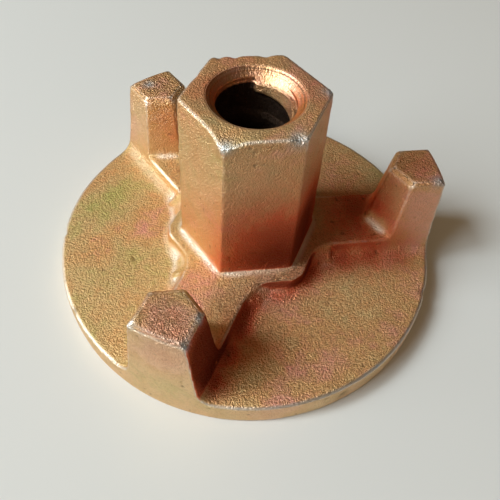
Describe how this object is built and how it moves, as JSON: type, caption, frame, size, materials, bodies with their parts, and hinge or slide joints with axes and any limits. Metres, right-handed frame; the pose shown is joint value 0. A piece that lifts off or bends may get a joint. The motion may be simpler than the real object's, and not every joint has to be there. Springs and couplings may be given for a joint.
{
  "type": "formwork wing nut",
  "caption": "Cast formwork wing nut with a round bearing flange, lugs on ribs and a tall hexagon boss with a threaded bore.",
  "frame": {"origin": "centre of the bore on the flat bearing face", "axes": "+Z along the bore, from the bearing face towards the top of the hexagon boss; +X towards one lug"},
  "size_m": [0.1, 0.1, 0.0532],
  "materials": {
    "zinc_casting": "yellow chromated zinc plating, satin, with a fine sandy cast grain"
  },
  "bodies": {
    "root": {"wing_nut": "zinc_casting"}
  },
  "joints": []
}
